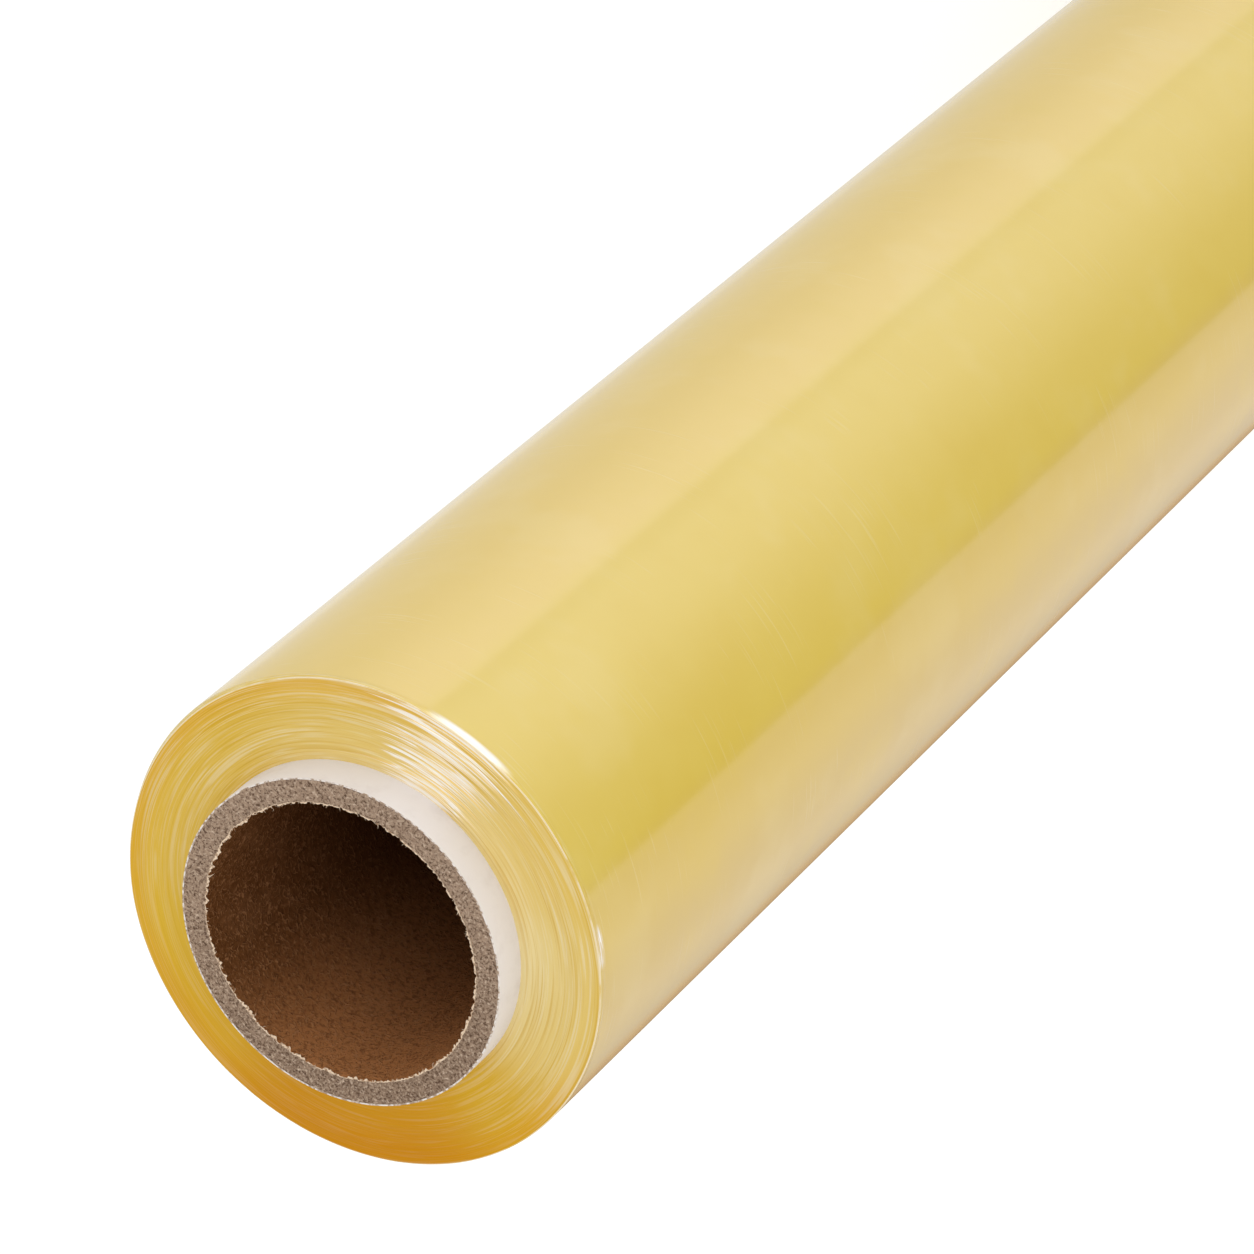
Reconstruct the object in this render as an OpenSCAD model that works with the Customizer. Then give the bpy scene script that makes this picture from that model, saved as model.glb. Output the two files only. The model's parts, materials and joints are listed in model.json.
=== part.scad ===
// Clear PVC wrapping film wound on a paper core, standing on one end of the core.
// Z runs along the roll's axis, and the origin is the centre of the ring that it stands on.

/* [Wound film] */
// Width of the film, and so the distance between the two end faces of the wound film
film_w = 300; // [150:5:600]
// Depth of wound film, from the core to the outermost turn
wound_t = 11.1; // [6:0.1:40]
// Radius of the soft corner where the outermost turns meet an end face
corner_r = 0.4; // [0.2:0.1:1]

/* [Turns on the end faces] */
// Thickness of a bundle of turns that was wound level, which shows as one ring on an end face
bundle_t = 0.37; // [0.25:0.01:1]
// Radial run of the slope from one bundle's level to the next
slope_w = 0.08; // [0.02:0.01:0.15]
// Largest step along the axis between a bundle and the level that its neighbours lie at
step_max = 0.09; // [0.02:0.01:0.2]
// How far the level of the bundles sways to either side of the nominal end face
sway = 0.14; // [0.05:0.01:0.4]
// Depth of wound film over which the level sways once to and fro
sway_span = 6.4; // [3:0.1:20]
// Number that picks one pattern of steps
step_seed = 7; // [1:1:99]

/* [Core] */
// Bore of the core
core_id = 38; // [25:0.5:80]
// Thickness of the brown kraft ply that lines the bore
liner_t = 0.4; // [0.2:0.05:1]
// Thickness of the greyboard wall
board_t = 2.8; // [1:0.1:8]
// Thickness of the white paper ply on the outside
wrap_t = 0.2; // [0.1:0.05:0.6]
// Length of core that stands out past the film at each end
core_overhang = 5.3; // [1:0.1:20]

/* [Hidden] */
$fn = 180;
// Points on the quarter circle of the film's soft corner
corner_points = 5;
// Radii of the plies, from the bore outwards
bore_r = core_id / 2;
board_in_r = bore_r + liner_t;
board_out_r = board_in_r + board_t;
core_r = board_out_r + wrap_t;
film_r = core_r + wound_t;
core_len = film_w + 2 * core_overhang;
// The bundles share the depth between the core and the soft corner
bundles = max(2, round((wound_t - corner_r) / bundle_t));
bundle_pitch = (wound_t - corner_r) / bundles;
steps = rands(-step_max, step_max, bundles, step_seed);
// Axial shift of each bundle: a slow sway with a step of its own on top
shifts = [for (k = [0:bundles - 1]) sway * sin(360 * k * bundle_pitch / sway_span) + steps[k]];

// Outer end of the level rings: a quarter circle at the height z, turned by the angle start
function corner(z, start) = [
    for (i = [0:corner_points - 1])
        let (a = start + 90 * i / (corner_points - 1))
        [film_r - corner_r + corner_r * cos(a), z + corner_r * sin(a)]
];

// Half of the slope that a ring gives up at one of its sides; there is none at the core or at the corner
function give_up(k, side) = (side == 0 && k == 0) || (side == 1 && k == bundles - 1) ? 0 : slope_w / 2;

// Level rings of one end face, from the core outwards, at the nominal height z, with slopes between them
function rings(z) = [
    for (k = [0:bundles - 1], side = [0, 1])
        [core_r + (k + side) * bundle_pitch + (side == 0 ? 1 : -1) * give_up(k, side), z + shifts[k]]
];

// Points of a list in reverse order
function backwards(points) = [for (i = [len(points) - 1:-1:0]) points[i]];

// Tube between two radii, over the length of the core
module ply(inner_r, outer_r) {
    rotate_extrude()
        translate([inner_r, 0])
            square([outer_r - inner_r, core_len]);
}

// The web keeps its width all through, so a bundle that stands proud at one end is sunk at the other
module film_roll() {
    bottom_z = core_overhang;
    top_z = core_overhang + film_w;
    last_shift = shifts[bundles - 1];
    color([0.88, 0.77, 0.44])
        rotate_extrude()
            polygon(concat(
                rings(bottom_z),
                corner(bottom_z + last_shift + corner_r, 270),
                corner(top_z + last_shift - corner_r, 0),
                backwards(rings(top_z))
            ));
}

// Greyboard wall of the core
module core_tube() {
    color([0.59, 0.5, 0.42])
        ply(board_in_r, board_out_r);
}

// Brown kraft ply that lines the bore
module core_liner() {
    color([0.42, 0.26, 0.16])
        ply(bore_r, board_in_r);
}

// White paper ply around the greyboard, which the film is wound on
module core_wrap() {
    color([0.95, 0.93, 0.9])
        ply(board_out_r, core_r);
}

film_roll();
core_tube();
core_liner();
core_wrap();
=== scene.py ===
"""Looks of a roll of clear yellowish PVC wrapping film on its paper core.

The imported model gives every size: the film, the greyboard tube, the kraft ply in its bore and the white
ply around it. Each is built again here as a finer mesh in the same place, with its own finish, and the
roll stands on its core in a plain white studio. All lengths are metres unless a name says otherwise, and
azimuths are degrees round the roll's axis from +X.
"""

import json
import logging
import math
from collections.abc import Mapping, Sequence
from dataclasses import dataclass, field
from enum import Enum
from typing import Any, NamedTuple

import bpy
import numpy as np
from mathutils import Matrix, Vector


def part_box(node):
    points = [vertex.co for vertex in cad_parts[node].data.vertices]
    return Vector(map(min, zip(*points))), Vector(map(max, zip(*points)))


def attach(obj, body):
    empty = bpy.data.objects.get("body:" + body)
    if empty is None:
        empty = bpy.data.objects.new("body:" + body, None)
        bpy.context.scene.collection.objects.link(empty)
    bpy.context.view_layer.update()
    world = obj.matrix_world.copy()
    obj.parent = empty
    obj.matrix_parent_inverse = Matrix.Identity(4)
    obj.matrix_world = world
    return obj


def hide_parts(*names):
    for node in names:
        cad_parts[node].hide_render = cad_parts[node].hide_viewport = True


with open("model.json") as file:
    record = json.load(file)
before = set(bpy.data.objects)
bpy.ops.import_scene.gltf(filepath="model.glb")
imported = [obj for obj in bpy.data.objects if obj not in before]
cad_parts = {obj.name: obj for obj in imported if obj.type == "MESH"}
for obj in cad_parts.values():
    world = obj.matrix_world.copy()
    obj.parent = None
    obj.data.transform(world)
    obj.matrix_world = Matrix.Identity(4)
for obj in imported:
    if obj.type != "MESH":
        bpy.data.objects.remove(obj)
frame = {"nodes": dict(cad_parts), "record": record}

LOG = logging.getLogger("film_roll")
MM = 0.001
BODY = "root"
IMAGE_SIDE_PX = 1254
# Middle of the stretch of each end face where the turns lie unevenly and catch the light, and where a
# highlight with white glint lines is painted into the end face's colour
UNEVEN_HIGHLIGHT_DEG = -72.0
# Middle of the stretch of rim that is drawn in to a bevel, with a milky white highlight painted on it
BEVEL_HIGHLIGHT_DEG = -76.0

Colour = tuple[float, float, float]


class RollEnd(Enum):
    """The two ends of the standing roll, with the direction in which each end face looks along Z."""

    TOP = 1
    BOTTOM = -1


class Shape(Enum):
    """How a level changes between two limits."""

    LINEAR = "LINEAR"
    SMOOTH = "SMOOTHSTEP"


class Arc(NamedTuple):
    """A stretch of the circle, in degrees: its middle, its reach to where it fades to half, and the fade."""

    centre: float
    half: float
    soft: float


class Number:
    """A number that varies over a surface: an output socket that takes part in arithmetic."""

    def __init__(self, tree: "ShaderTree", socket: bpy.types.NodeSocket) -> None:
        """Wraps a socket.

        Args:
            tree: The shader tree that the socket belongs to.
            socket: The output socket that carries the number.
        """
        self.tree = tree
        self.socket = socket

    def _math(self, operation: str, *operands: "Number | float", swap: bool = False) -> "Number":
        """Adds one Math node.

        Args:
            operation: The node's operation, such as "ADD".
            operands: What follows this number, as numbers or sockets.
            swap: True to put this number second, for the reflected operators.

        Returns:
            The node's result.
        """
        order = [operands[0], self] if swap else [self, *operands]
        node = self.tree.node("ShaderNodeMath", {"operation": operation}, dict(enumerate(order)))
        return Number(self.tree, node.outputs[0])

    def __add__(self, other: "Number | float") -> "Number":
        """This number plus another."""
        return self._math("ADD", other)

    def __radd__(self, other: float) -> "Number":
        """A plain number plus this one."""
        return self._math("ADD", other)

    def __sub__(self, other: "Number | float") -> "Number":
        """This number less another."""
        return self._math("SUBTRACT", other)

    def __rsub__(self, other: float) -> "Number":
        """A plain number less this one."""
        return self._math("SUBTRACT", other, swap=True)

    def __mul__(self, other: "Number | float") -> "Number":
        """This number times another."""
        return self._math("MULTIPLY", other)

    def __rmul__(self, other: float) -> "Number":
        """A plain number times this one."""
        return self._math("MULTIPLY", other)

    def __truediv__(self, other: "Number | float") -> "Number":
        """This number over another."""
        return self._math("DIVIDE", other)

    def __rtruediv__(self, other: float) -> "Number":
        """A plain number over this one."""
        return self._math("DIVIDE", other, swap=True)

    def __pow__(self, other: "Number | float") -> "Number":
        """This number to a power."""
        return self._math("POWER", other)

    def __abs__(self) -> "Number":
        """The size of this number."""
        return self._math("ABSOLUTE")

    def cosine(self) -> "Number":
        """Cosine of this number in radians."""
        return self._math("COSINE")

    def sine(self) -> "Number":
        """Sine of this number in radians."""
        return self._math("SINE")

    def angle_of(self, across: "Number") -> "Number":
        """Angle in radians of the point whose X is across and whose Y is this number."""
        return self._math("ARCTAN2", across)

    def ridge(self, width: float) -> "Number":
        """Thin winding lines where this noise passes through one half, faded out at width to either side."""
        return abs(self - 0.5).between(width, width * 0.3)

    def lobe(self, arc: Arc) -> "Number":
        """1 within a stretch of the circle and 0 outside it, where this number is the angle in radians."""
        near = math.cos(math.radians(max(arc.half - arc.soft / 2, 0.0)))
        far = math.cos(math.radians(min(arc.half + arc.soft / 2, 180.0)))
        return (self - math.radians(arc.centre)).cosine().between(far, near)

    def between(self, low: float, high: float, shape: Shape = Shape.SMOOTH) -> "Number":
        """Where this number lies between two limits.

        Args:
            low: The limit that gives 0. It may be above high, for a level that falls.
            high: The limit that gives 1.
            shape: How the level changes in between.

        Returns:
            A number from 0 to 1.
        """
        settings = {"interpolation_type": shape.value}
        inputs = {"Value": self, "From Min": low, "From Max": high}
        return Number(self.tree, self.tree.node("ShaderNodeMapRange", settings, inputs).outputs["Result"])


@dataclass
class ShaderTree:
    """One node tree of a material or a world, with the calls that add nodes to it."""

    tree: bpy.types.NodeTree

    def node(
        self,
        kind: str,
        settings: Mapping[str, Any] | None = None,
        inputs: Mapping[str | int, Any] | None = None,
    ) -> bpy.types.Node:
        """Adds one node.

        Args:
            kind: Blender's name of the node's type.
            settings: The node's own settings, set before its sockets. "stops" gives a ramp's stops as
                (place, colour) pairs.
            inputs: What each input socket gets, by name or number: a value, a socket or a Number.

        Returns:
            The new node.
        """
        made = self.tree.nodes.new(kind)
        for name, value in (settings or {}).items():
            if name == "stops":
                self._set_stops(made.color_ramp, value)
            else:
                setattr(made, name, value)
        for name, value in (inputs or {}).items():
            socket = value.socket if isinstance(value, Number) else value
            if isinstance(socket, bpy.types.NodeSocket):
                self.tree.links.new(socket, made.inputs[name])
            else:
                made.inputs[name].default_value = socket
        return made

    def _set_stops(self, ramp: bpy.types.ColorRamp, stops: Sequence[tuple[float, Colour]]) -> None:
        """Gives a ramp its stops.

        Args:
            ramp: The ramp of a node that was just made, with its two first stops.
            stops: Places from 0 to 1 in rising order, each with a colour.
        """
        while len(ramp.elements) < len(stops):
            ramp.elements.new(1.0)
        for element, (place, colour) in zip(ramp.elements, stops, strict=True):
            element.position = place
            element.color = (*colour, 1.0)

    def number(self, node: bpy.types.Node, output: str | int = 0) -> Number:
        """One output of a node as a Number."""
        return Number(self, node.outputs[output])

    def axes(self, coordinates: str = "Object") -> tuple[Number, Number, Number]:
        """The X, Y and Z of the Texture Coordinate node's named output."""
        source = self.node("ShaderNodeTexCoord").outputs[coordinates]
        parts = self.node("ShaderNodeSeparateXYZ", None, {"Vector": source})
        return self.number(parts, "X"), self.number(parts, "Y"), self.number(parts, "Z")

    def vector(self, x: Number | float, y: Number | float, z: Number | float) -> bpy.types.NodeSocket:
        """A vector of three numbers."""
        return self.node("ShaderNodeCombineXYZ", None, {"X": x, "Y": y, "Z": z}).outputs["Vector"]

    def noise(
        self, place: bpy.types.NodeSocket, scale: float = 1.0, detail: float = 2.0, rough: float = 0.5
    ) -> Number:
        """Soft noise around one half.

        Args:
            place: Where the noise is read, as a vector.
            scale: Waves for each unit of the vector.
            detail: Octaves of finer noise on top.
            rough: Strength of each finer octave.

        Returns:
            The noise, from 0 to 1.
        """
        inputs = {"Vector": place, "Scale": scale, "Detail": detail, "Roughness": rough}
        return self.number(self.node("ShaderNodeTexNoise", None, inputs), "Fac")

    def mix(self, share: Number | float, first: Any, second: Any) -> bpy.types.NodeSocket:
        """A colour between two others.

        Args:
            share: 0 for the first colour, 1 for the second.
            first: A colour or a colour socket.
            second: A colour or a colour socket.

        Returns:
            The mixed colour's socket.
        """
        made = self.node("ShaderNodeMix", {"data_type": "RGBA"}, {"Factor": share})
        for name, value in (("A", first), ("B", second)):
            socket = next(s for s in made.inputs if s.name == name and s.type == "RGBA")
            if isinstance(value, bpy.types.NodeSocket):
                self.tree.links.new(value, socket)
            else:
                socket.default_value = (*value, 1.0)
        return next(s for s in made.outputs if s.type == "RGBA")

    def bump(self, height: Number, distance: float, below: Any = None) -> bpy.types.NodeSocket:
        """A normal that follows a relief.

        Args:
            height: The relief, from 0 to 1.
            distance: Height in metres that 1 stands for.
            below: A normal socket that this relief lies on, if any.

        Returns:
            The normal's socket.
        """
        inputs = {"Height": height, "Distance": distance}
        if below is not None:
            inputs["Normal"] = below
        return self.node("ShaderNodeBump", None, inputs).outputs["Normal"]


def new_material(name: str, **constants: Any) -> tuple[bpy.types.Material, ShaderTree, bpy.types.Node]:
    """Makes a material with one Principled shader.

    Args:
        name: The material's name.
        constants: Values of the shader's sockets, with _ for a space in a socket's name.

    Returns:
        The material, its tree and its shader node.
    """
    material = bpy.data.materials.new(name)
    material.use_nodes = True
    tree = ShaderTree(material.node_tree)
    shader = material.node_tree.nodes["Principled BSDF"]
    for key, value in constants.items():
        shader.inputs[key.replace("_", " ")].default_value = value
    return material, tree, shader


def wire(tree: ShaderTree, shader: bpy.types.Node, **sources: Any) -> None:
    """Links what varies over a surface to its shader.

    Args:
        tree: The shader tree.
        shader: The Principled node.
        sources: A socket or Number for each input, with _ for a space in its name.
    """
    for key, source in sources.items():
        socket = source.socket if isinstance(source, Number) else source
        tree.tree.links.new(socket, shader.inputs[key.replace("_", " ")])


@dataclass(frozen=True)
class RollSizes:
    """Sizes of the roll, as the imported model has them."""

    bore_r: float
    liner_r: float
    board_r: float
    core_r: float
    film_r: float
    skin_r: float
    core_low: float
    core_high: float
    film_low: float
    film_high: float

    @classmethod
    def from_frame(cls) -> "RollSizes":
        """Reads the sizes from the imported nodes' boxes and the bore mount.

        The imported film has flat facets, so its box is a little narrower on some sides. skin_r fits in all.

        Returns:
            The sizes.
        """
        bore = next(m for m in frame["record"]["mounts"] if m["name"] == "core_bore")
        core_low, core_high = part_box("core_tube")
        film_low, film_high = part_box("film_roll")
        return cls(
            bore_r=bore["dims"]["r_mm"] * MM,
            liner_r=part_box("core_liner")[1].x,
            board_r=core_high.x,
            core_r=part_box("core_wrap")[1].x,
            film_r=film_high.x,
            skin_r=min(-film_low.x, film_high.x, -film_low.y, film_high.y),
            core_low=core_low.z,
            core_high=core_high.z,
            film_low=film_low.z,
            film_high=film_high.z,
        )


@dataclass
class RingMesh:
    """A closed ring: a closed outline in radius and height that is swept once round the roll's axis."""

    name: str
    radii: np.ndarray
    heights: np.ndarray
    finish_rows: np.ndarray
    crease_deg: float = 50.0

    def build(self, materials: Sequence[bpy.types.Material]) -> bpy.types.Object:
        """Makes the object.

        Args:
            materials: The finishes that finish_rows picks from for each row of faces.

        Returns:
            The new object, linked to the scene and not yet riding on a body.
        """
        rows, columns = self.radii.shape
        turn = around(columns)
        points = np.stack([self.radii * np.cos(turn), self.radii * np.sin(turn), self.heights], axis=-1)
        row, column = np.meshgrid(np.arange(rows), np.arange(columns), indexing="ij")
        next_row, next_column = (row + 1) % rows, (column + 1) % columns
        corners = np.stack(
            [row * columns + column, row * columns + next_column,
             next_row * columns + next_column, next_row * columns + column],
            axis=-1,
        ).reshape(-1, 4)
        mesh = bpy.data.meshes.new(self.name)
        mesh.from_pydata(points.reshape(-1, 3).tolist(), [], corners.tolist())
        for material in materials:
            mesh.materials.append(material)
        mesh.polygons.foreach_set("material_index", np.repeat(self.finish_rows, columns).astype(np.int32))
        mesh.polygons.foreach_set("use_smooth", np.ones(len(corners), dtype=bool))
        mesh.set_sharp_from_angle(angle=math.radians(self.crease_deg))
        mesh.update()
        made = bpy.data.objects.new(self.name, mesh)
        bpy.context.scene.collection.objects.link(made)
        return made


def seat(piece: bpy.types.Object, node: str) -> bpy.types.Object:
    """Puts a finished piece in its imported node's place.

    Args:
        piece: The new piece, in place.
        node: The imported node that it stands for.

    Returns:
        The piece.
    """
    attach(piece, BODY)
    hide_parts(node)
    LOG.info("%s: %d faces, stands for %s", piece.name, len(piece.data.polygons), node)
    return piece


def around(columns: int) -> np.ndarray:
    """Angles round the axis, one for each column of a ring mesh."""
    return np.arange(columns) * (2 * math.pi / columns)


def window(turn: np.ndarray, arc: Arc) -> np.ndarray:
    """A stretch of the circle that fades in and out.

    Args:
        turn: Angles round the axis, in radians.
        arc: The stretch.

    Returns:
        1 within the stretch and 0 outside it.
    """
    away = np.degrees(np.abs(np.angle(np.exp(1j * (turn - math.radians(arc.centre))))))
    share = np.clip((arc.half + arc.soft / 2 - away) / arc.soft, 0, 1)
    return share * share * (3 - 2 * share)


def smooth_rows(rough: np.ndarray, reach: float) -> np.ndarray:
    """Blurs an array down its rows.

    Args:
        rough: Values with the rows first.
        reach: Standard deviation of the blur, in rows.

    Returns:
        The blurred values, brought back to a spread of one.
    """
    span = int(reach * 3) + 1
    kernel = np.exp(-0.5 * (np.arange(-span, span + 1) / reach) ** 2)
    padded = np.pad(rough, [(span, span)] + [(0, 0)] * (rough.ndim - 1), mode="wrap")
    out = sum(k * padded[i:i + len(rough)] for i, k in enumerate(kernel))
    return out / max(float(out.std()), 1e-9)


@dataclass(frozen=True)
class FilmSideFinish:
    """Outside of the wound film: smooth, glossy and yellow where no light is mirrored."""

    colour: Colour = (0.755, 0.558, 0.095)
    warm_lit_tint: Colour = (0.755, 0.535, 0.10)
    shaded_tint: Colour = (0.715, 0.512, 0.108)
    deep_shaded_tint: Colour = (0.655, 0.462, 0.104)
    pale: Colour = (0.85, 0.72, 0.34)
    deep: Colour = (0.73, 0.52, 0.07)
    line: Colour = (0.68, 0.41, 0.04)
    highlight_white: Colour = (0.97, 0.94, 0.91)
    roughness: float = 0.11
    band_waves: float = 90.0
    band_depth: float = 0.00003
    scratch_waves: float = 2600.0
    scratch_depth: float = 0.000008
    scratch_zone: tuple[float, float] = (75 * MM, 20 * MM)
    warm_lit_arc: Arc = Arc(-30, 34, 8)
    shaded_arc: Arc = Arc(-137, 20, 8)
    deep_shaded_arc: Arc = Arc(-158, 22, 16)
    painted_glint_arc: Arc = Arc(-129, 3.5, 4)
    painted_glint_zone: tuple[float, float] = (1.8 * MM, 1.3 * MM)
    painted_highlight_arc: Arc = Arc(BEVEL_HIGHLIGHT_DEG, 8, 8)
    painted_highlight_zone: tuple[float, float] = (1.4 * MM, 0.9 * MM)
    edge_waves: float = 3300.0
    edge_depth: float = 0.0001
    edge_zone: float = 1.4 * MM

    def material(self, sizes: RollSizes) -> bpy.types.Material:
        """Makes the material.

        Args:
            sizes: The roll's sizes, for where the turns at the two edges lie.

        Returns:
            The material, with faint bands round the roll, short scratches along the turns, the fine lines of
            the outermost turns beside each end face, painted light and shade on fixed sides, painted glint
            specks, and a painted milky highlight on the drawn-in bevel.
        """
        material, tree, shader = new_material("film_side", Roughness=self.roughness, IOR=1.5)
        x, y, z = tree.axes()
        turn = y.angle_of(x)
        cosine, sine = turn.cosine(), turn.sine()
        middle, half = (sizes.film_low + sizes.film_high) / 2, (sizes.film_high - sizes.film_low) / 2
        from_middle = abs(z - middle)
        at_edge = from_middle.between(half - self.edge_zone, half - self.edge_zone * 0.5)
        near_edge, by_painted_glint, by_painted_highlight = (
            from_middle.between(half - zone[0], half - zone[1])
            for zone in (self.scratch_zone, self.painted_glint_zone, self.painted_highlight_zone)
        )
        bands = tree.noise(tree.vector(cosine, sine, z * self.band_waves), 1.0, 3.0, 0.6)
        patches = tree.noise(tree.vector(x, y, z), 45.0, 3.0, 0.6)
        groups = tree.noise(tree.vector(x, y, z), 70.0, 1.0) + near_edge * 0.07
        scratch_place = tree.vector(cosine * 3.4, sine * 3.4, z * self.scratch_waves)
        scratches = tree.noise(scratch_place, 1.0, 1.0).between(0.62, 0.74) * groups.between(0.5, 0.64)
        turns = tree.noise(tree.vector(cosine * 6.0, sine * 6.0, z * self.edge_waves), 1.0, 2.0, 0.6)
        # Painted light and shade by azimuth: a warmer painted tint round -30 degrees, painted shade round
        # -137 degrees and deeper painted shade round -158 degrees
        tint = tree.mix(turn.lobe(self.warm_lit_arc), self.colour, self.warm_lit_tint)
        tint = tree.mix(turn.lobe(self.shaded_arc), tint, self.shaded_tint)
        tint = tree.mix(turn.lobe(self.deep_shaded_arc), tint, self.deep_shaded_tint)
        tint = tree.mix(patches.between(0.5, 0.3) * 0.4, tint, self.deep)
        tint = tree.mix(patches.between(0.5, 0.7) * 0.12 + scratches * 0.2, tint, self.pale)
        tint = tree.mix(turns.between(0.52, 0.62) * at_edge * 0.5, tint, self.pale)
        tint = tree.mix(turns.between(0.46, 0.38) * at_edge * 0.5, tint, self.line)
        # Painted glint: a few white specks on the side just beside the rim
        painted_glint = turn.lobe(self.painted_glint_arc) * (turns.between(0.47, 0.56) * 0.8 + 0.2)
        tint = tree.mix(painted_glint * by_painted_glint, tint, self.highlight_white)
        # Painted highlight: the drawn-in bevel is painted milky white
        tint = tree.mix(turn.lobe(self.painted_highlight_arc) * by_painted_highlight * 0.85, tint, self.highlight_white)
        normal = tree.bump(bands, self.band_depth)
        normal = tree.bump(scratches, self.scratch_depth, below=normal)
        normal = tree.bump(turns * at_edge, self.edge_depth, below=normal)
        wire(tree, shader, Base_Color=tint, Roughness=at_edge * 0.1 + self.roughness, Normal=normal)
        return material


@dataclass(frozen=True)
class FilmEndFinish:
    """End face of the wound film: the cut edges of the turns, gold, with fine glossy lines, amber painted
    shade and paler painted light on fixed sides, and a painted highlight wedge.
    """

    gold: Colour = (0.76, 0.478, 0.03)
    rich: Colour = (0.765, 0.42, 0.012)
    pale: Colour = (0.92, 0.785, 0.41)
    lit: Colour = (0.99, 0.72, 0.27)
    cream: Colour = (0.92, 0.82, 0.56)
    dark: Colour = (0.64, 0.36, 0.015)
    amber: Colour = (0.635, 0.25, 0.001)
    glint: Colour = (1.0, 0.93, 0.83)
    roughness: float = 0.13
    drift: float = 0.45 * MM
    drift_azimuth_deg: float = 135.0
    arc_waves: float = 480.0
    line_waves: float = 2300.0
    fine_waves: float = 4600.0
    hair_waves: float = 3100.0
    line_depth: float = 0.00006
    uneven_highlight_arc: Arc = Arc(UNEVEN_HIGHLIGHT_DEG, 9.5, 11)
    calm_arc: Arc = Arc(UNEVEN_HIGHLIGHT_DEG + 180, 70, 60)
    plain_arc: Arc = Arc(-120, 40, 24)
    # Where paler painted light lies on the end face, and where less of it is painted
    far_light_arc: Arc = Arc(-150, 24, 24)
    mid_light_arc: Arc = Arc(-128, 36, 36)
    near_light_arc: Arc = Arc(-55, 32, 36)
    unlit_arc: Arc = Arc(130, 80, 70)
    amber_arc: Arc = Arc(130, 26, 32)
    amber_fade: Arc = Arc(126, 50, 50)

    def material(self, sizes: RollSizes) -> bpy.types.Material:
        """Makes the material.

        Args:
            sizes: The roll's sizes, for where the colour deepens.

        Returns:
            The material.
        """
        material, tree, shader = new_material("film_end", Roughness=self.roughness, IOR=1.5)
        x, y, _ = tree.axes()
        radius = (x * x + y * y) ** 0.5
        turn = y.angle_of(x)
        cosine, sine = turn.cosine(), turn.sine()
        outwards = radius.between(sizes.core_r, sizes.film_r, Shape.LINEAR)
        drift = (turn - math.radians(self.drift_azimuth_deg)).cosine() * outwards * self.drift
        place = radius - drift
        arcs = tree.noise(tree.vector(cosine * 1.1, sine * 1.1, place * self.arc_waves), 1.0, 3.0, 0.6)
        lines = tree.noise(tree.vector(cosine * 0.8, sine * 0.8, place * self.line_waves), 1.0, 1.0, 0.5)
        fine = tree.noise(tree.vector(cosine * 1.8, sine * 1.8, place * self.fine_waves), 1.0, 1.0, 0.5)
        hairs = tree.noise(tree.vector(cosine * 2.4, sine * 2.4, place * self.hair_waves), 1.0, 1.0, 0.5)
        ragged = turn + (lines - 0.5) * 0.5 + (fine - 0.5) * 0.5
        uneven_highlight = ragged.lobe(self.uneven_highlight_arc)
        calm = turn.lobe(self.calm_arc)
        bright = lines.ridge(0.08) * arcs.between(0.47, 0.6)
        bright = bright + fine.ridge(0.08) * arcs.between(0.53, 0.4) * 0.7
        sunk = fine.between(0.44, 0.32) * 0.6 + lines.between(0.4, 0.3) * 0.5
        # Painted light: the end face is painted paler on fixed sides, more towards the core and least round
        # the amber side
        painted_light = turn.lobe(self.far_light_arc) * 0.3 + turn.lobe(self.mid_light_arc) * 0.38
        painted_light = painted_light + turn.lobe(self.near_light_arc) * 0.26 + 0.15 - turn.lobe(self.unlit_arc) * 0.15
        painted_light = painted_light * (1.05 - outwards * 0.75)
        # Painted shade: a deeper amber on one side, strongest at the rim
        amber = turn.lobe(self.amber_arc) * 0.55 + turn.lobe(self.amber_fade) * 0.4
        amber = amber * (outwards * 0.5 + 0.6).between(0.0, 1.0, Shape.LINEAR)
        richer = outwards.between(0.6, 0.95) * (1.0 - turn.lobe(self.plain_arc))
        tint = tree.mix(richer, self.gold, self.rich)
        tint = tree.mix(painted_light + arcs.between(0.48, 0.66) * 0.05, tint, self.pale)
        tint = tree.mix(amber, tint, self.amber)
        # Painted highlight: the uneven wedge is painted a light cream, then white painted glint lines go on
        # it
        tint = tree.mix(uneven_highlight * 0.85, tint, self.lit)
        tint = tree.mix(sunk * (0.42 - calm * 0.2), tint, self.dark)
        tint = tree.mix(bright * (0.4 - calm * 0.3), tint, self.cream)
        glint_streaks = hairs.ridge(0.065) + lines.ridge(0.05)
        tint = tree.mix(glint_streaks * uneven_highlight, tint, self.glint)
        relief = arcs * 0.15 + lines * (0.4 + uneven_highlight * 0.8) + fine * (0.3 + uneven_highlight * 0.3)
        relief = relief * (1.0 - calm * 0.6)
        wire(tree, shader, Base_Color=tint, Normal=tree.bump(relief, self.line_depth))
        return material


@dataclass(frozen=True)
class FilmRimFinish:
    """Narrow soft corner between an end face and the outside, painted as a thin pale highlight line."""

    pale: Colour = (0.92, 0.76, 0.47)
    gold: Colour = (0.80, 0.58, 0.18)
    roughness: float = 0.2

    def material(self) -> bpy.types.Material:
        """Makes the material.

        Returns:
            The material, which is gold where the line breaks up.
        """
        material, tree, shader = new_material("film_rim", Roughness=self.roughness, IOR=1.5)
        breaks = tree.noise(tree.vector(*tree.axes()), 160.0, 3.0, 0.6)
        # Painted highlight: the rim is painted pale, broken up by gold
        wire(tree, shader, Base_Color=tree.mix(breaks.between(0.5, 0.34), self.pale, self.gold))
        return material


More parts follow.
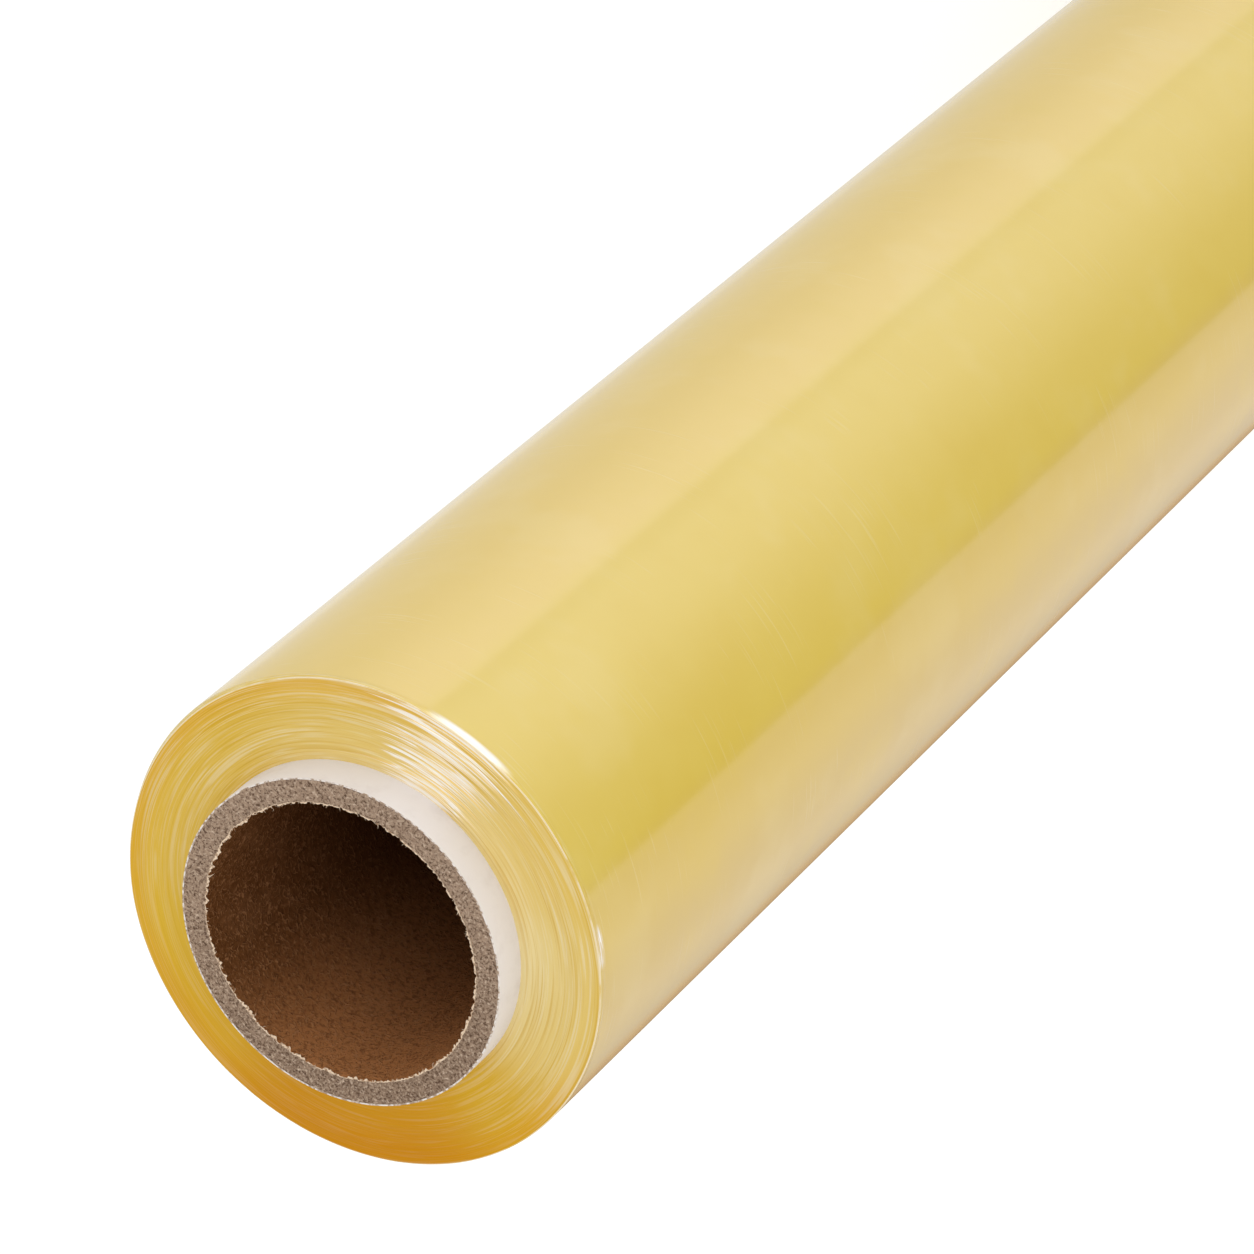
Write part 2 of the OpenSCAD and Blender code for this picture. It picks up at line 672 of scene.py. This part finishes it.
@dataclass(frozen=True)
class GreyboardFinish:
    """Sawn greyboard: grey-brown pulp with dark and light fibres, painted darker round one side as shade."""

    pulp: Colour = (0.40, 0.282, 0.198)
    shaded_pulp: Colour = (0.32, 0.222, 0.153)
    dark: Colour = (0.10, 0.055, 0.035)
    light: Colour = (0.68, 0.52, 0.39)
    fibre_scale: float = 3000.0
    fibre_depth: float = 0.0002
    shaded_pulp_arc: Arc = Arc(140, 70, 90)

    def material(self) -> bpy.types.Material:
        """Makes the material.

        Returns:
            The material.
        """
        material, tree, shader = new_material("greyboard", Roughness=0.95, IOR=1.4, Specular_IOR_Level=0.0)
        x, y, z = tree.axes()
        place = tree.vector(x, y, z)
        pulp = tree.noise(place, self.fibre_scale * 0.35, 3.0, 0.6)
        specks = tree.noise(place, self.fibre_scale, 2.0, 0.6)
        gaps = tree.noise(place, self.fibre_scale * 0.6, 1.0, 0.5)
        strands = tree.noise(place, self.fibre_scale * 0.4, 1.0).ridge(0.05) * gaps.between(0.5, 0.58)
        cracks = tree.noise(place, self.fibre_scale * 0.47, 1.0).ridge(0.05) * gaps.between(0.5, 0.42)
        # Painted shade: the pulp is darker round one side of the cut face
        tint = tree.mix(y.angle_of(x).lobe(self.shaded_pulp_arc), self.pulp, self.shaded_pulp)
        tint = tree.mix(pulp.between(0.6, 0.4) * 0.2, tint, self.dark)
        tint = tree.mix(specks.between(0.46, 0.36) * 0.7, tint, self.dark)
        tint = tree.mix(cracks * 0.8, tint, self.dark)
        tint = tree.mix(strands * 0.6 + specks.between(0.56, 0.66) * 0.45, tint, self.light)
        relief = specks * 0.6 + strands * 0.25 - cracks * 0.25
        wire(tree, shader, Base_Color=tint, Normal=tree.bump(relief, self.fibre_depth))
        return material


@dataclass(frozen=True)
class TornEdgeFinish:
    """Pale torn fibres at the core's inner edge."""

    cream: Colour = (0.84, 0.66, 0.48)
    dark: Colour = (0.45, 0.29, 0.18)

    def material(self) -> bpy.types.Material:
        """Makes the material.

        Returns:
            The material.
        """
        material, tree, shader = new_material("torn_edge", Roughness=0.95, IOR=1.4, Specular_IOR_Level=0.0)
        place = tree.vector(*tree.axes())
        specks = tree.noise(place, 2200.0, 2.0, 0.6)
        wire(tree, shader, Base_Color=tree.mix(specks.between(0.52, 0.36), self.cream, self.dark))
        return material


@dataclass(frozen=True)
class KraftFinish:
    """Brown kraft paper in the bore, with a matt nap, painted lighter on one side as light and darker deeper
    in the bore as shade.
    """

    brown: Colour = (0.16, 0.061, 0.019)
    dark: Colour = (0.08, 0.026, 0.007)
    light: Colour = (0.48, 0.23, 0.10)
    lit_side: Colour = (0.48, 0.20, 0.072)
    deep: Colour = (0.085, 0.03, 0.01)
    lit_side_arc: Arc = Arc(168, 74, 60)
    dark_zone: tuple[float, float] = (4 * MM, 48 * MM)
    nap_depth: float = 0.0003

    def material(self, sizes: RollSizes) -> bpy.types.Material:
        """Makes the material.

        Args:
            sizes: The roll's sizes, for how far a point lies from the nearer end.

        Returns:
            The material.
        """
        material, tree, shader = new_material("kraft", Roughness=0.95, IOR=1.4, Specular_IOR_Level=0.0)
        x, y, z = tree.axes()
        place = tree.vector(x, y, z)
        middle, half = (sizes.core_high + sizes.core_low) / 2, (sizes.core_high - sizes.core_low) / 2
        inwards = abs(z - middle).between(half - self.dark_zone[0], half - self.dark_zone[1])
        lit_side = y.angle_of(x).lobe(self.lit_side_arc)
        nap = tree.noise(place, 1600.0, 3.0, 0.7)
        clouds = tree.noise(place, 170.0, 3.0, 0.5)
        gaps = tree.noise(place, 1100.0, 1.0, 0.5)
        strands = tree.noise(place, 800.0, 1.0, 0.5).ridge(0.05) * gaps.between(0.5, 0.6)
        curls = tree.noise(place, 1150.0, 1.0, 0.5).ridge(0.05) * gaps.between(0.52, 0.44)
        # Painted light: one side of the bore wall is painted lighter
        tint = tree.mix(lit_side, self.brown, self.lit_side)
        tint = tree.mix(nap.between(0.52, 0.36) * 0.5, tint, self.dark)
        tint = tree.mix(nap.between(0.55, 0.68) * 0.3 + clouds.between(0.5, 0.75) * 0.12, tint, self.light)
        tint = tree.mix((strands + curls) * 0.5, tint, self.light)
        # Painted shade: darker deeper in the bore, less on the painted lit side
        tint = tree.mix(inwards * (0.75 - lit_side * 0.3), tint, self.deep)
        relief = nap * 0.6 + (strands + curls) * 0.4
        wire(tree, shader, Base_Color=tint, Normal=tree.bump(relief, self.nap_depth))
        return material


@dataclass(frozen=True)
class WhitePlyFinish:
    """Smooth white paper around the core."""

    white: Colour = (0.91, 0.865, 0.86)
    shade: Colour = (0.86, 0.81, 0.80)

    def material(self) -> bpy.types.Material:
        """Makes the material.

        Returns:
            The material.
        """
        material, tree, shader = new_material("white_ply", Roughness=0.55, IOR=1.45, Specular_IOR_Level=0.2)
        place = tree.vector(*tree.axes())
        grain = tree.noise(place, 300.0, 4.0, 0.6)
        tint = tree.mix(grain.between(0.5, 0.75), self.white, self.shade)
        wire(tree, shader, Base_Color=tint, Normal=tree.bump(grain, 0.00002))
        return material


@dataclass(frozen=True)
class PlyCutFinish:
    """Cut edge of the white ply, white with the saw's brown dust in its fibres."""

    white: Colour = (0.86, 0.80, 0.74)
    dust: Colour = (0.42, 0.30, 0.21)

    def material(self) -> bpy.types.Material:
        """Makes the material.

        Returns:
            The material.
        """
        material, tree, shader = new_material("ply_cut", Roughness=0.95, IOR=1.4, Specular_IOR_Level=0.0)
        place = tree.vector(*tree.axes())
        dust = tree.noise(place, 1500.0, 2.0, 0.6).between(0.42, 0.62)
        wire(tree, shader, Base_Color=tree.mix(dust, self.white, self.dust))
        return material


@dataclass
class WoundFilm:
    """The wound film: its glossy outside, two lined end faces and the soft edges between them."""

    sizes: RollSizes
    columns: int = 300
    end_rows: int = 108
    corner_rows: int = 5
    bevel_rows: int = 8
    side_rows: int = 36
    bore_rows: int = 3
    relief: float = 0.008 * MM
    step_share: float = 0.25
    uneven_highlight: Arc = Arc(UNEVEN_HIGHLIGHT_DEG, 30, 50)
    edge_r: float = 0.16 * MM
    bevel_h: float = 1.0 * MM
    bevel_curve: float = 1.7
    shoulder: Arc = Arc(-100, 45, 20)
    shoulder_in: float = 0.08 * MM
    worn: Arc = Arc(BEVEL_HIGHLIGHT_DEG, 9, 20)
    worn_in: float = 0.30 * MM
    pinch: Arc = Arc(3, 32, 40)
    pinch_in: float = 0.38 * MM
    side_finish: FilmSideFinish = field(default_factory=FilmSideFinish)
    end_finish: FilmEndFinish = field(default_factory=FilmEndFinish)
    rim_finish: FilmRimFinish = field(default_factory=FilmRimFinish)

    def level_at(self, end: RollEnd, radii: np.ndarray) -> np.ndarray:
        """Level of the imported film's end face at given radii.

        Args:
            end: Which end face.
            radii: Radii to read, in rising order.

        Returns:
            Heights in the row frame.
        """
        mesh = frame["nodes"]["film_roll"].data
        points = np.array([v.co for v in mesh.vertices], float)
        out = np.hypot(points[:, 0], points[:, 1])
        middle = (self.sizes.film_low + self.sizes.film_high) / 2
        near = (points[:, 2] - middle) * end.value > 0
        profile = {}
        for radius, height in zip(out[near].round(6), points[near, 2].round(6)):
            profile.setdefault(float(radius), []).append(float(height))
        known = np.array(sorted(profile))
        levels = np.array([np.mean(profile[r]) for r in known])
        return np.interp(radii, known, levels)

    def end_face(self, end: RollEnd, seed: int) -> tuple[np.ndarray, np.ndarray]:
        """Radii and heights of one end face, from the core outwards.

        Args:
            end: Which end face.
            seed: Seed of the fine relief.

        Returns:
            Two arrays with one row for each radius and one column for each angle.
        """
        rng = np.random.default_rng(seed)
        turn = around(self.columns)
        radii = np.linspace(self.sizes.core_r, self.sizes.skin_r - self.edge_r, self.end_rows)
        level = self.level_at(end, radii)
        relief = rng.normal(size=(self.end_rows, 1)) * np.ones((1, self.columns))
        for waves in (1, 2, 3, 5):
            size = rng.normal(size=(self.end_rows, 1)) * 0.5
            lag = rng.uniform(0, 2 * math.pi, size=(self.end_rows, 1))
            relief = relief + size * np.cos(waves * turn + lag)
        relief = smooth_rows(relief, 0.9) * self.relief
        sway = np.interp(radii, radii[::12], level[::12])
        uneven_highlight = 0.15 + 0.85 * window(turn, self.uneven_highlight)[None, :]
        relief = (relief + (level - sway)[:, None] * self.step_share) * uneven_highlight
        share = (radii - self.sizes.core_r) / (radii[-1] - self.sizes.core_r)
        drawn_in = self.drawn_in(turn)[None, :] * share[:, None]
        return radii[:, None] - drawn_in, sway[:, None] + relief

    def drawn_in(self, turn: np.ndarray) -> np.ndarray:
        """How far the rim of an end face lies inside the film's outer radius, beyond the soft edge itself.

        Args:
            turn: Angles round the axis, in radians.

        Returns:
            The inset at each angle.
        """
        shoulder = window(turn, self.shoulder) * self.shoulder_in
        worn = window(turn, self.worn) * self.worn_in
        return shoulder + worn + window(turn, self.pinch) * self.pinch_in

    def edge(self, end: RollEnd, level: np.ndarray) -> tuple[np.ndarray, np.ndarray]:
        """The soft edge between an end face and the outside, from the end face outwards.

        It is a round corner, and where the rim is drawn in, the corner stops short and a bevel follows it.

        Args:
            end: Which end.
            level: Height of the end face's last ring at each angle.

        Returns:
            Two arrays with one row for each step round the edge.
        """
        inset = self.drawn_in(around(self.columns))
        lean = np.arctan(inset * self.bevel_curve / self.bevel_h)
        step = np.linspace(0, 1, self.corner_rows + 1)[1:, None] * (math.pi / 2 - lean)
        corner_r = self.sizes.skin_r - inset - self.edge_r * (np.cos(lean) - np.sin(step))
        corner_z = level - end.value * self.edge_r * (1 - np.cos(step))
        share = np.linspace(0, 1, self.bevel_rows + 1)[1:, None]
        bevel_r = self.sizes.skin_r - inset * (1 - share) ** self.bevel_curve
        bevel_z = corner_z[-1] - end.value * self.bevel_h * share
        return np.concatenate([corner_r, bevel_r]), np.concatenate([corner_z, bevel_z])

    def build(self) -> bpy.types.Object:
        """Builds the film and seats it.

        Returns:
            The film's object.
        """
        top_r, top_z = self.end_face(RollEnd.TOP, 11)
        low_r, low_z = self.end_face(RollEnd.BOTTOM, 12)
        top_edge_r, top_edge_z = self.edge(RollEnd.TOP, top_z[-1])
        low_edge_r, low_edge_z = self.edge(RollEnd.BOTTOM, low_z[-1])
        share = np.linspace(0, 1, self.side_rows + 2)[1:-1, None]
        side_z = low_edge_z[-1] + (top_edge_z[-1] - low_edge_z[-1]) * share
        side_r = np.full_like(side_z, self.sizes.skin_r)
        share = np.linspace(0, 1, self.bore_rows + 2)[1:-1, None]
        bore_z = top_z[0] + (low_z[0] - top_z[0]) * share
        bore_r = np.full_like(bore_z, self.sizes.core_r)
        radii = np.concatenate([low_r, low_edge_r, side_r, top_edge_r[::-1], top_r[::-1], bore_r])
        heights = np.concatenate([low_z, low_edge_z, side_z, top_edge_z[::-1], top_z[::-1], bore_z])
        first = self.end_rows + 2 * (self.corner_rows + self.bevel_rows) + self.side_rows
        finish = np.zeros(len(radii), dtype=int)
        finish[: self.end_rows - 1] = 1
        finish[first:] = 1
        finish[self.end_rows - 1: self.end_rows - 1 + self.corner_rows] = 2
        finish[first - self.corner_rows: first] = 2
        ring = RingMesh("wound_film", radii, heights, finish)
        side, face = self.side_finish.material(self.sizes), self.end_finish.material(self.sizes)
        return seat(ring.build([side, face, self.rim_finish.material()]), "film_roll")


@dataclass
class PaperPly:
    """One ply of the paper core: a tube with its two cut ends."""

    name: str
    node: str
    slot: str
    inner_r: float
    outer_r: float
    low: float
    high: float
    wall: bpy.types.Material
    cut: bpy.types.Material
    columns: int = 360
    cut_rows: int = 4
    roughness: float = 0.0
    ragged: float = 0.0
    lip: bpy.types.Material | None = None
    seed: int = 1
    lip_depth: float = 0.35 * MM

    def cut_end(
        self, rng: np.random.Generator, height: float, inwards: float
    ) -> tuple[np.ndarray, np.ndarray]:
        """One cut end, from the inner edge outwards.

        Args:
            rng: Source of the relief.
            height: Level of the cut.
            inwards: Direction along Z from the cut into the ply.

        Returns:
            Radii and heights with one row for each ring of points.
        """
        share = np.linspace(0, 1, self.cut_rows)[:, None]
        coarse, fine = (smooth_rows(rng.normal(size=(self.columns, 1)), reach).T for reach in (3.0, 1.0))
        torn = np.clip(coarse * 0.75 + fine * 0.6 + 0.3, -0.9, 2.4) * self.ragged
        radii = self.inner_r + share * (self.outer_r - self.inner_r) - torn * (1 - share) ** 2
        rough = np.abs(rng.normal(size=radii.shape)) * self.roughness
        return radii, height + inwards * (rough + np.abs(torn) * 0.6 * (1 - share))

    def build(self) -> bpy.types.Object:
        """Builds the ply and seats it.

        Returns:
            The ply's object.
        """
        rng = np.random.default_rng(self.seed)
        low_r, low_z = self.cut_end(rng, self.low, 1.0)
        high_r, high_z = self.cut_end(rng, self.high, -1.0)
        level = np.ones((1, self.columns))
        middle = (self.low + self.high) / 2
        outside = level * middle
        depths = np.array([1.0, 2.0]) * self.lip_depth
        inside = np.array([*(self.high - depths), middle, *(self.low + depths[::-1])])[:, None] * level
        bore = np.full_like(inside, self.inner_r)
        radii = np.concatenate([low_r, level * self.outer_r, high_r[::-1], bore])
        heights = np.concatenate([low_z, outside, high_z[::-1], inside])
        finish = np.zeros(len(radii), dtype=int)
        finish[: self.cut_rows - 1] = 1
        finish[self.cut_rows + 1: 2 * self.cut_rows] = 1
        materials = [self.wall, self.cut]
        if self.lip is not None:
            materials.append(self.lip)
            finish[:2] = finish[2 * self.cut_rows - 2: 2 * self.cut_rows] = 2
        made = RingMesh(self.name, radii, heights, finish).build(materials)
        return seat(made, self.node)


@dataclass
class TornFibres:
    """Fine paper fibres that the saw left along the core's inner edge at both ends."""

    sizes: RollSizes
    material: bpy.types.Material
    count: int = 230
    sides: int = 4
    joints: int = 5
    shortest: float = 0.25 * MM
    longest: float = 0.95 * MM
    thickness: float = 0.045 * MM
    seed: int = 21

    def strand(self, rng: np.random.Generator, end: RollEnd) -> tuple[np.ndarray, float]:
        """The route of one fibre.

        Args:
            rng: Source of the fibre's form.
            end: The end of the core that it grows from.

        Returns:
            Points along the fibre, and its thickness at the root.
        """
        turn = rng.uniform(0, 2 * math.pi)
        length = self.shortest + (self.longest - self.shortest) * rng.random() ** 2.2
        lean = rng.normal(0, 0.9)
        rise = rng.uniform(-0.9, 0.25)
        step = length / (self.joints - 1)
        heading = np.array([-math.cos(lean), math.sin(lean), rise])
        inwards = np.array([math.cos(turn), math.sin(turn), 0.0])
        along = np.array([-math.sin(turn), math.cos(turn), 0.0])
        level = self.sizes.core_high if end is RollEnd.TOP else self.sizes.core_low
        place = inwards * (self.sizes.bore_r + 0.1 * MM) + np.array([0, 0, level - end.value * 0.04 * MM])
        route = [place]
        for _ in range(self.joints - 1):
            heading = heading + rng.normal(0, 0.35, size=3)
            heading /= np.linalg.norm(heading)
            move = inwards * heading[0] + along * heading[1] + np.array([0, 0, end.value * heading[2]])
            place = place + move * step
            route.append(place)
        points = np.array(route)
        margin = self.thickness * 1.7
        points[:, 2] = np.clip(points[:, 2], self.sizes.core_low + margin, self.sizes.core_high - margin)
        return points, self.thickness * rng.uniform(0.7, 1.6)

    def build(self) -> bpy.types.Object:
        """Builds the fibres of both ends as one piece.

        Returns:
            The fibres' object.
        """
        rng = np.random.default_rng(self.seed)
        points: list[list[float]] = []
        faces: list[tuple[int, ...]] = []
        for end in RollEnd:
            for _ in range(self.count):
                route, thick = self.strand(rng, end)
                self.add_tube(points, faces, route, thick)
        mesh = bpy.data.meshes.new("torn_fibres")
        mesh.from_pydata(points, [], faces)
        mesh.materials.append(self.material)
        made = bpy.data.objects.new("torn_fibres", mesh)
        bpy.context.scene.collection.objects.link(made)
        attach(made, BODY)
        LOG.info("torn_fibres: %d strands at each end", self.count)
        return made

    def add_tube(self, points: list, faces: list, route: np.ndarray, thick: float) -> None:
        """Adds one tapered tube with a point at its tip.

        Args:
            points: Points so far, which grow.
            faces: Faces so far, which grow.
            route: Points along the tube's middle.
            thick: Radius at the root.
        """
        first = len(points)
        last = len(route) - 1
        for i in range(last):
            ahead = route[min(i + 1, last)] - route[max(i - 1, 0)]
            ahead = ahead / np.linalg.norm(ahead)
            across = np.cross(ahead, (0.0, 0.0, 1.0))
            across = across / max(float(np.linalg.norm(across)), 1e-6)
            upright = np.cross(across, ahead)
            radius = thick * (1 - 0.7 * i / last)
            for k in range(self.sides):
                angle = 2 * math.pi * k / self.sides
                outwards = math.cos(angle) * across + math.sin(angle) * upright
                points.append((route[i] + radius * outwards).tolist())
        points.append(route[last].tolist())
        tip = len(points) - 1
        faces.append(tuple(first + k for k in reversed(range(self.sides))))
        for i in range(last - 1):
            for k in range(self.sides):
                a, b = first + i * self.sides + k, first + i * self.sides + (k + 1) % self.sides
                faces.append((a, b, b + self.sides, a + self.sides))
        ring = first + (last - 1) * self.sides
        for k in range(self.sides):
            faces.append((ring + k, ring + (k + 1) % self.sides, tip))


@dataclass
class PaperCore:
    """The paper core: greyboard wall, kraft lining, white outer ply and the torn fibres of the saw cut."""

    sizes: RollSizes

    def build(self) -> list[bpy.types.Object]:
        """Builds the core's plies and fibres.

        Returns:
            The pieces.
        """
        s = self.sizes
        board, kraft = GreyboardFinish().material(), KraftFinish().material(s)
        torn, white, ply_cut = (f().material() for f in (TornEdgeFinish, WhitePlyFinish, PlyCutFinish))
        ends = (s.core_low, s.core_high)
        plies = [
            PaperPly(
                "greyboard_wall", "core_tube", "greyboard", s.liner_r, s.board_r, *ends, board, board,
                columns=640, cut_rows=16, roughness=0.035 * MM, seed=5,
            ),
            PaperPly(
                "kraft_lining", "core_liner", "kraft_ply", s.bore_r, s.liner_r, *ends, kraft, board,
                columns=1200, cut_rows=6, roughness=0.02 * MM, ragged=0.16 * MM, lip=torn, seed=6,
            ),
            PaperPly(
                "white_outer_ply", "core_wrap", "white_ply", s.board_r, s.core_r, *ends, white, ply_cut,
                seed=7,
            ),
        ]
        pieces = [ply.build() for ply in plies]
        pieces.append(TornFibres(s, torn).build())
        return pieces


@dataclass(frozen=True)
class Lamp:
    """A rectangular lamp that faces the roll's top end.

    towards is its direction from that end, across the direction of its width, away its distance, sides its
    width and height, and power is in watts. A lamp that glints is only mirrored, any other only lights.
    """

    name: str
    towards: tuple[float, float, float]
    across: tuple[float, float, float]
    away: float
    sides: tuple[float, float]
    power: float
    glints: bool


@dataclass
class Studio:
    """White floor, soft even light, and the softboxes that the glossy film mirrors.

    boxes gives the radiance that the side of the roll mirrors, by azimuth, and table the one that comes
    from below, beyond the plane with table_normal.
    """

    sizes: RollSizes
    floor_side: float = 30.0
    ambient: float = 0.86
    floor_glow: float = 0.28
    overhead: float = 0.18
    boxes: tuple[tuple[float, float], ...] = (
        (-180, 0.2), (-140, 0.15), (-128, 0.37), (-115, 0.65), (-103, 1.2), (-91, 1.7), (-78, 2.3),
        (-66, 2.55), (-53, 2.6), (-42, 2.1), (-38, 2.95), (-29, 2.8), (-16, 2.25), (-4, 1.7), (8, 1.3),
        (32, 1.0), (44, 0.92), (56, 0.87), (66, 0.97), (76, 0.84), (90, 0.8), (180, 1.0),
    )
    table: tuple[tuple[float, float], ...] = (
        (0, 0.15), (96, 0.15), (104, 0.42), (114, 0.58), (126, 0.7), (134, 0.84), (146, 1.07), (158, 1.14),
        (171, 1.23), (183, 1.27), (195, 1.23), (207, 1.03), (240, 1.0),
    )
    table_arc: Arc = Arc(168, 78, 4)
    table_edge_arc: Arc = Arc(90, 26, 20)
    table_normal: tuple[float, float, float] = (0.7066, -0.6856, -0.175)
    table_soft: float = 0.014
    table_tint: Colour = (1.0, 0.93, 0.96)
    table_edge_tint: Colour = (1.0, 0.66, 0.5)
    ramp_top: float = 4.0
    lamps: tuple[Lamp, ...] = (
        Lamp("key_lamp", (-0.1, -0.76, 0.64), (1, 0, 0), 1.2, (0.6, 0.6), 1.6, glints=False),
        Lamp("strip_lamp", (0.27, -0.187, 0.944), (0.942, 0.287, -0.173), 1.0, (0.3, 0.9), 2.6, glints=True),
        Lamp("rim_lamp", (0.382, -0.912, -0.146), (0.922, 0.386, 0), 1.0, (0.5, 0.7), 8.0, glints=True),
    )

    def _ramp(
        self, tree: ShaderTree, share: Number, levels: Sequence[tuple[float, float]], start: float
    ) -> Number:
        """A radiance that follows the azimuth.

        Args:
            tree: The world's tree.
            share: Azimuth as a share of a full turn from start.
            levels: Azimuths in degrees with their radiance.
            start: Azimuth in degrees that share counts from.

        Returns:
            The radiance.
        """
        stops = [((a - start) / 360, (v / self.ramp_top,) * 3) for a, v in levels]
        ramp = tree.node("ShaderNodeValToRGB", {"stops": stops}, {"Fac": share})
        level = tree.node("ShaderNodeRGBToBW", None, {"Color": ramp.outputs["Color"]})
        return tree.number(level) * self.ramp_top

    def world(self) -> None:
        """Makes the world: white to the camera, even to diffuse surfaces, and softboxes to glossy ones."""
        world = bpy.data.worlds.new("studio")
        bpy.context.scene.world = world
        world.use_nodes = True
        tree = ShaderTree(world.node_tree)
        x, y, z = tree.axes("Generated")
        turn = y.angle_of(x)
        share = turn / (2 * math.pi) + 0.5
        lamps = self._ramp(tree, share, self.boxes, -180.0)
        lamps = 0.6 + (lamps - 0.6) * z.between(-1.02, -0.72)
        wrapped = tree.number(tree.node("ShaderNodeMath", {"operation": "FRACT"}, {0: share + 0.5}))
        sweep = self._ramp(tree, wrapped, self.table, 0.0)
        m = self.table_normal
        beyond = (x * m[0] + y * m[1] + z * m[2]).between(self.table_soft, -self.table_soft)
        beyond = beyond * turn.lobe(self.table_arc)
        below = lamps + (sweep - lamps) * beyond
        glossy = below + (self.overhead - below) * z.between(-0.05, 0.25)
        path = tree.node("ShaderNodeLightPath")
        seen = tree.number(path, "Is Glossy Ray")
        camera = tree.number(path, "Is Camera Ray")
        level = self.ambient + (glossy - self.ambient) * seen
        level = level + (1.0 - level) * camera
        background = world.node_tree.nodes["Background"]
        world.node_tree.links.new(level.socket, background.inputs["Strength"])
        tint = tree.mix(turn.lobe(self.table_edge_arc), self.table_tint, self.table_edge_tint)
        tint = tree.mix(beyond * seen, (1.0, 1.0, 1.0), tint)
        world.node_tree.links.new(tint, background.inputs["Color"])

    def floor(self) -> bpy.types.Object:
        """Makes the floor, which keeps the roll's shadow and shows white around it.

        Returns:
            The floor's object.
        """
        half = self.floor_side / 2
        mesh = bpy.data.meshes.new("studio_floor")
        corners = [(-half, -half, 0), (half, -half, 0), (half, half, 0), (-half, half, 0)]
        mesh.from_pydata(corners, [], [(0, 1, 2, 3)])
        made = bpy.data.objects.new("studio_floor", mesh)
        bpy.context.scene.collection.objects.link(made)
        material, tree, shader = new_material("studio_floor", Roughness=0.9, Specular_IOR_Level=0.0)
        shader.inputs["Base Color"].default_value = (0.93, 0.93, 0.93, 1)
        shader.inputs["Emission Color"].default_value = (1, 1, 1, 1)
        path = tree.node("ShaderNodeLightPath")
        glow = tree.number(path, "Is Camera Ray") * self.floor_glow
        tree.tree.links.new(glow.socket, shader.inputs["Emission Strength"])
        mesh.materials.append(material)
        made.visible_glossy = False
        made.visible_shadow = False
        return made

    def hang(self, lamp: Lamp) -> None:
        """Hangs one lamp."""
        ahead = Vector(lamp.towards).normalized()
        upright = ahead.cross(Vector(lamp.across)).normalized()
        data = bpy.data.lights.new(lamp.name, "AREA")
        data.shape = "RECTANGLE"
        data.size, data.size_y = lamp.sides
        data.energy = lamp.power
        made = bpy.data.objects.new(lamp.name, data)
        place = Matrix.Translation(Vector((0, 0, self.sizes.film_high)) + ahead * lamp.away)
        made.matrix_world = place @ Matrix((upright.cross(ahead), upright, ahead)).transposed().to_4x4()
        made.visible_camera = False
        made.visible_glossy = lamp.glints
        made.visible_diffuse = not lamp.glints
        bpy.context.scene.collection.objects.link(made)

    def build(self) -> None:
        """Sets up the floor, the lamps, the world and the plain view transform."""
        self.world()
        self.floor()
        for lamp in self.lamps:
            self.hang(lamp)
        bpy.context.scene.view_settings.view_transform = "Standard"
        LOG.info("studio: floor, world and %d lamps", len(self.lamps))


@dataclass
class Viewpoint:
    """The camera, from which the top end looks as the near end does in the photograph."""

    sizes: RollSizes
    focal_px: float = 6555.3
    sensor_mm: float = 36.0
    axis_right: float = 0.4669346
    axis_ahead: float = 0.78418918
    end_right: float = -0.97679691
    end_down: float = 1.09054782
    end_ahead: float = 24.05531889
    overhang: float = 5.3 * MM

    def build(self) -> bpy.types.Object:
        """Makes the camera.

        The roll's axis runs down from the top end. axis_right and axis_ahead are its shares along the
        camera's own right and ahead directions, and ahead has no X. The middle of the film's top end face,
        which lies the overhang below the core's top, is (end_right, end_down, end_ahead) film radii from
        the camera.

        Returns:
            The camera's object.
        """
        ahead = Vector((0, math.sqrt(1 - self.axis_ahead**2), -self.axis_ahead))
        right_y = -self.axis_ahead * self.axis_right / ahead.y
        right = Vector((-math.sqrt(1 - right_y**2 - self.axis_right**2), right_y, -self.axis_right))
        down = ahead.cross(right)
        end = Vector((0, 0, self.sizes.core_high - self.overhang))
        radius = self.sizes.film_r
        offset = right * self.end_right + down * self.end_down + ahead * self.end_ahead
        data = bpy.data.cameras.new("camera")
        data.sensor_width = self.sensor_mm
        data.lens = self.sensor_mm * self.focal_px / IMAGE_SIDE_PX
        data.clip_start = 0.01
        data.dof.use_dof = False
        made = bpy.data.objects.new("camera", data)
        rotation = Matrix((right, -down, -ahead)).transposed()
        made.matrix_world = Matrix.Translation(end - offset * radius) @ rotation.to_4x4()
        bpy.context.scene.collection.objects.link(made)
        bpy.context.scene.camera = made
        return made


def main() -> None:
    """Builds the roll, the studio and the camera."""
    logging.basicConfig(level=logging.INFO, format="%(name)s: %(message)s")
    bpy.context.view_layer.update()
    sizes = RollSizes.from_frame()
    Viewpoint(sizes).build()
    WoundFilm(sizes).build()
    PaperCore(sizes).build()
    Studio(sizes).build()


if __name__ == "__main__":
    main()
